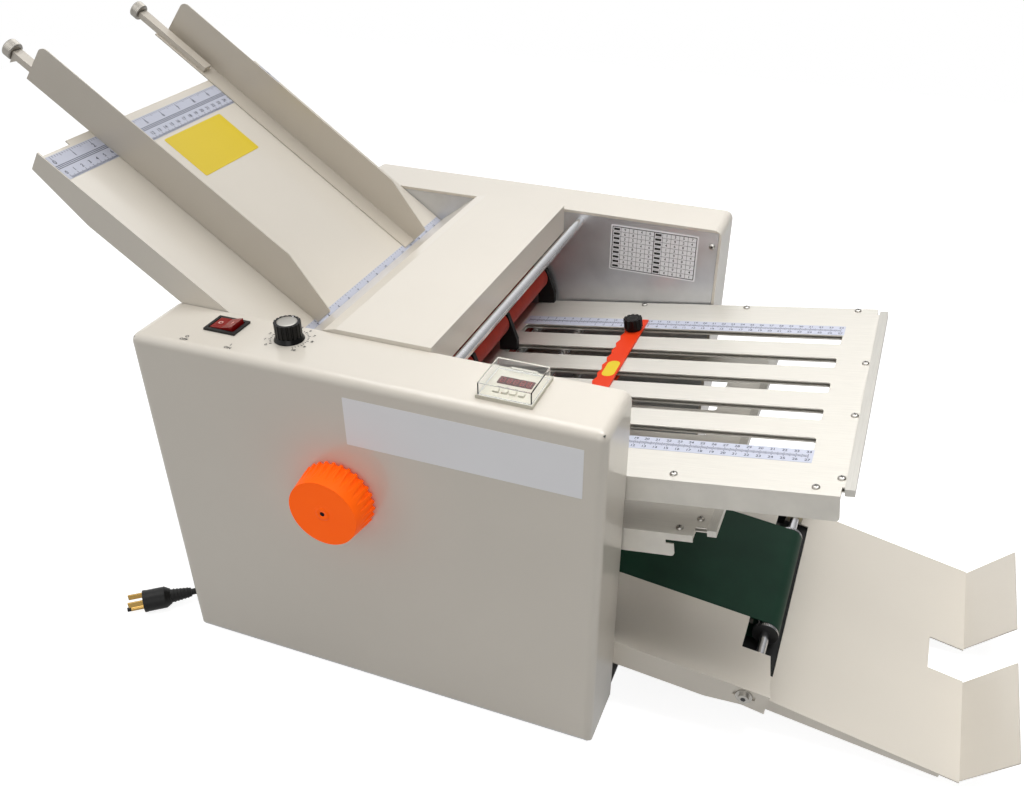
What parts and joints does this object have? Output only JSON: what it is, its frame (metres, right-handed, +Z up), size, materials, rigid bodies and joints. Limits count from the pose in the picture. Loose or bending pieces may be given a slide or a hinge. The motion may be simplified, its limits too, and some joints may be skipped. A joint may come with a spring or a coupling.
{
  "type": "paper folding machine",
  "caption": "Desk paper folding machine with sloping feed table, side guides, roller stack, slotted fold plates with sliding stops and a belt delivery with tray",
  "frame": {"origin": "On the floor, at the middle of the pattern of four feet under the body", "axes": "+X is the way the paper travels, from the feed table to the delivery tray; +Y is the side away from the handwheel; +Z is up"},
  "size_m": [1.0191, 0.509, 0.5683],
  "materials": {
    "painted_beige": "glossy powder coat",
    "zinc_plate": "satin zinc-plated sheet",
    "grey_sheet": "satin coated sheet",
    "ground_steel": "ground and plated",
    "aluminium": "extruded, satin",
    "red_rubber": "ground rubber",
    "black_rubber": "matt",
    "black_plastic": "moulded",
    "orange_plastic": "moulded",
    "cream_plastic": "moulded",
    "red_plastic": "moulded",
    "clear_plastic": "clear acrylic",
    "green_belt": "woven-backed belt, satin",
    "orange_paint": "gloss paint",
    "beige_nylon": "moulded",
    "green_board": "printed board"
  },
  "bodies": {
    "root": {"base_plate": "zinc_plate", "rubber_feet": "black_rubber", "tie_bars": "ground_steel", "top_rod": "ground_steel", "rear_side_plate": "zinc_plate", "front_side_plate": "zinc_plate", "shaft_bearings": "beige_nylon", "rear_cover": "painted_beige", "front_cover": "painted_beige", "roller_brackets": "black_plastic", "upper_fold_plate": "grey_sheet", "lower_fold_plate": "grey_sheet", "fold_plate_bars": "aluminium", "feed_table": "painted_beige", "retard_pad": "black_rubber", "centre_cover": "painted_beige", "delivery_frame": "painted_beige", "end_roller_bearings": "beige_nylon", "drive_belts": "black_rubber", "delivery_belt": "green_belt", "motor": "painted_beige", "paper_guides": "zinc_plate", "switch_housing": "black_plastic", "control_board": "green_board", "counter_body": "cream_plastic", "cord_gland": "black_plastic", "cord_lead": "black_rubber", "cord_coil": "black_rubber", "mains_plug": "black_plastic"},
    "drive": {"main_shaft": "ground_steel", "handwheel": "orange_plastic"},
    "guide_roller": {"guide_roller": "ground_steel", "guide_roller_sleeves": "red_rubber"},
    "roller_1": {"fold_roller_1": "red_rubber"},
    "roller_2": {"fold_roller_2": "red_rubber"},
    "roller_3": {"fold_roller_3": "red_rubber"},
    "roller_4": {"fold_roller_4": "red_rubber"},
    "roller_5": {"fold_roller_5": "red_rubber"},
    "roller_6": {"fold_roller_6": "red_rubber"},
    "feed": {"feed_roller": "black_rubber"},
    "motor_shaft": {"motor_pulley": "ground_steel"},
    "delivery_drive": {"delivery_drive_roller": "ground_steel"},
    "delivery_end": {"delivery_end_roller": "ground_steel"},
    "rocker": {"switch_rocker": "red_plastic"},
    "dial": {"speed_knob": "black_plastic"},
    "key_1": {"counter_key_1": "cream_plastic"},
    "key_2": {"counter_key_2": "cream_plastic"},
    "key_3": {"counter_key_3": "cream_plastic"},
    "key_4": {"counter_key_4": "cream_plastic"},
    "window": {"counter_window": "clear_plastic"},
    "front_guide": {"front_side_guide": "grey_sheet"},
    "rear_guide": {"rear_side_guide": "grey_sheet"},
    "front_screw": {"front_guide_screw": "ground_steel"},
    "rear_screw": {"rear_guide_screw": "ground_steel"},
    "upper_stop": {"upper_fold_stop": "orange_paint"},
    "lower_stop": {"lower_fold_stop": "orange_paint"},
    "upper_knob": {"upper_stop_knob": "black_plastic"},
    "lower_knob": {"lower_stop_knob": "black_plastic"},
    "tray": {"delivery_tray": "painted_beige", "tray_screws": "ground_steel"}
  },
  "joints": [
    {"name": "handwheel_turn", "type": "hinge", "parent": "root", "child": "drive", "pos_m": [-0.02165, 0, 0.24741], "axis": [0, 1, 0], "continuous": true},
    {"name": "roller_1_turn", "type": "hinge", "parent": "root", "child": "roller_1", "pos_m": [-0.00275, 0, 0.2622], "axis": [0, 1, 0], "continuous": true},
    {"name": "roller_2_turn", "type": "hinge", "parent": "root", "child": "roller_2", "pos_m": [0.00157, 0, 0.23372], "axis": [0, 1, 0], "continuous": true},
    {"name": "roller_3_turn", "type": "hinge", "parent": "root", "child": "roller_3", "pos_m": [-0.00275, 0, 0.20525], "axis": [0, 1, 0], "continuous": true},
    {"name": "roller_4_turn", "type": "hinge", "parent": "root", "child": "roller_4", "pos_m": [0.00157, 0, 0.17678], "axis": [0, 1, 0], "continuous": true},
    {"name": "roller_5_turn", "type": "hinge", "parent": "root", "child": "roller_5", "pos_m": [-0.00275, 0, 0.1483], "axis": [0, 1, 0], "continuous": true},
    {"name": "roller_6_turn", "type": "hinge", "parent": "root", "child": "roller_6", "pos_m": [0.00157, 0, 0.11983], "axis": [0, 1, 0], "continuous": true},
    {"name": "guide_roller_turn", "type": "hinge", "parent": "root", "child": "guide_roller", "pos_m": [0.01384, 0, 0.28574], "axis": [0, 1, 0], "continuous": true},
    {"name": "feed_roller_turn", "type": "hinge", "parent": "root", "child": "feed", "pos_m": [-0.09328, 0, 0.30085], "axis": [0, 1, 0], "continuous": true},
    {"name": "motor_turn", "type": "hinge", "parent": "root", "child": "motor_shaft", "pos_m": [-0.11, 0, 0.078], "axis": [0, 1, 0], "continuous": true},
    {"name": "delivery_drive_turn", "type": "hinge", "parent": "root", "child": "delivery_drive", "pos_m": [0.09627, 0, 0.08874], "axis": [0, 1, 0], "continuous": true},
    {"name": "delivery_end_turn", "type": "hinge", "parent": "root", "child": "delivery_end", "pos_m": [0.35162, 0, 0.05964], "axis": [0, 1, 0], "continuous": true},
    {"name": "power_rocker", "type": "hinge", "parent": "root", "child": "rocker", "pos_m": [-0.146, -0.1957, 0.369], "axis": [0, 1, 0], "range_deg": [0, 18]},
    {"name": "speed_dial", "type": "hinge", "parent": "root", "child": "dial", "pos_m": [-0.0821, -0.1955, 0.369], "axis": [0, 0, 1], "range_deg": [-140, 140]},
    {"name": "key_1_press", "type": "slide", "parent": "root", "child": "key_1", "axis": [0, 0, -1], "range_m": [0, 0.0008], "stiffness_N_per_m": 200},
    {"name": "key_2_press", "type": "slide", "parent": "root", "child": "key_2", "axis": [0, 0, -1], "range_m": [0, 0.0008], "stiffness_N_per_m": 200},
    {"name": "key_3_press", "type": "slide", "parent": "root", "child": "key_3", "axis": [0, 0, -1], "range_m": [0, 0.0008], "stiffness_N_per_m": 200},
    {"name": "key_4_press", "type": "slide", "parent": "root", "child": "key_4", "axis": [0, 0, -1], "range_m": [0, 0.0008], "stiffness_N_per_m": 200},
    {"name": "window_lift", "type": "hinge", "parent": "root", "child": "window", "pos_m": [0.1305, -0.17965, 0.3735], "axis": [-1, 0, 0], "range_deg": [0, 100]},
    {"name": "front_guide_slide", "type": "slide", "parent": "root", "child": "front_guide", "axis": [0, 1, 0], "range_m": [-0.055, 0.05]},
    {"name": "rear_guide_slide", "type": "slide", "parent": "root", "child": "rear_guide", "axis": [0, 1, 0], "range_m": [-0.05, 0.055]},
    {"name": "front_screw_turn", "type": "hinge", "parent": "front_guide", "child": "front_screw", "pos_m": [-0.41683, -0.091, 0.55522], "axis": [0.8173, 0, -0.5761], "range_deg": [-360, 0]},
    {"name": "rear_screw_turn", "type": "hinge", "parent": "rear_guide", "child": "rear_screw", "pos_m": [-0.41683, 0.091, 0.55522], "axis": [0.8173, 0, -0.5761], "range_deg": [-360, 0]},
    {"name": "upper_stop_slide", "type": "slide", "parent": "root", "child": "upper_stop", "axis": [0.9887, 0, 0.1499], "range_m": [-0.1, 0.21]},
    {"name": "upper_knob_turn", "type": "hinge", "parent": "upper_stop", "child": "upper_knob", "pos_m": [0.15006, 0.099, 0.27363], "axis": [-0.1499, 0, 0.9887], "range_deg": [0, 180]},
    {"name": "lower_stop_slide", "type": "slide", "parent": "root", "child": "lower_stop", "axis": [0.9887, 0, 0.1499], "range_m": [-0.08, 0.125]},
    {"name": "lower_knob_turn", "type": "hinge", "parent": "lower_stop", "child": "lower_knob", "pos_m": [0.12831, 0.099, 0.21339], "axis": [-0.1499, 0, 0.9887], "range_deg": [0, 180]},
    {"name": "tray_slide", "type": "slide", "parent": "root", "child": "tray", "axis": [0.9936, 0, -0.1132], "range_m": [-0.005, 0.0075]}
  ],
  "couplings": [
    {"joint": "roller_1_turn", "follows": "handwheel_turn", "ratio": -0.66667},
    {"joint": "roller_2_turn", "follows": "handwheel_turn", "ratio": 0.66667},
    {"joint": "roller_3_turn", "follows": "handwheel_turn", "ratio": -0.66667},
    {"joint": "roller_4_turn", "follows": "handwheel_turn", "ratio": 0.66667},
    {"joint": "roller_5_turn", "follows": "handwheel_turn", "ratio": -0.66667},
    {"joint": "roller_6_turn", "follows": "handwheel_turn", "ratio": 0.66667},
    {"joint": "guide_roller_turn", "follows": "handwheel_turn", "ratio": 0.66667},
    {"joint": "feed_roller_turn", "follows": "handwheel_turn", "ratio": 0.76923},
    {"joint": "motor_turn", "follows": "handwheel_turn", "ratio": 2.6},
    {"joint": "delivery_drive_turn", "follows": "handwheel_turn", "ratio": 0.66667},
    {"joint": "delivery_end_turn", "follows": "handwheel_turn", "ratio": 0.66667}
  ]
}
